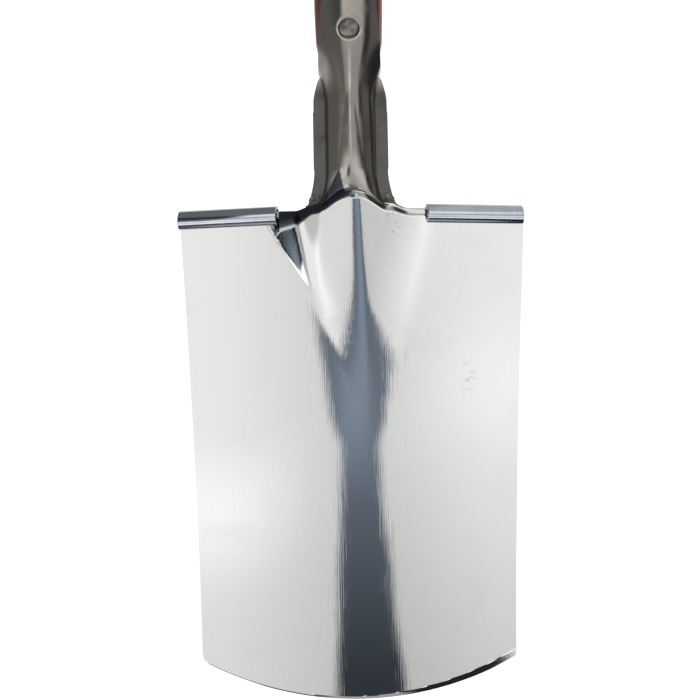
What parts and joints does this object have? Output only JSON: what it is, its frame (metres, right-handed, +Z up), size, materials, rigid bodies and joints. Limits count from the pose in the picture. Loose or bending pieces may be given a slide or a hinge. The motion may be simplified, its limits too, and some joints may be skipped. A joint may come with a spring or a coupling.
{
  "type": "garden spade",
  "caption": "Digging spade with a polished blade, slotted treads on its shoulders, a strapped neck and a wooden shaft ending in a D grip.",
  "frame": {"origin": "under the middle of the spade's outline, level with the lowest point of the cutting edge", "axes": "+Z up from the cutting edge towards the grip, along the blade; -Y is the blade's convex side; +X to the right when looking at the convex side"},
  "size_m": [0.197, 0.143, 1.1208],
  "materials": {
    "polished_steel": "stainless sheet polished to a mirror, with faint lengthwise polishing lines",
    "zinc_plate": "bright blue-white zinc plating",
    "dark_steel": "satin steel, darker and warmer than the blade",
    "ground_weld": "coarsely ground weld metal",
    "rivet_steel": "dull hammered rivet head",
    "lacquered_ash": "red-brown lacquer over straight-grained ash"
  },
  "bodies": {
    "root": {"blade": "polished_steel", "left_tread": "zinc_plate", "right_tread": "zinc_plate", "front_strap": "dark_steel", "back_strap": "dark_steel", "foot_weld_left": "ground_weld", "foot_weld_right": "ground_weld", "neck_weld_left": "ground_weld", "neck_weld_right": "ground_weld", "strap_rivet": "rivet_steel", "shaft": "lacquered_ash", "grip_bar": "lacquered_ash", "grip_rivet": "rivet_steel", "grip_washer_left": "zinc_plate", "grip_washer_right": "zinc_plate", "yoke_rivet": "rivet_steel", "yoke_washer_front": "zinc_plate", "yoke_washer_back": "zinc_plate"}
  },
  "joints": []
}
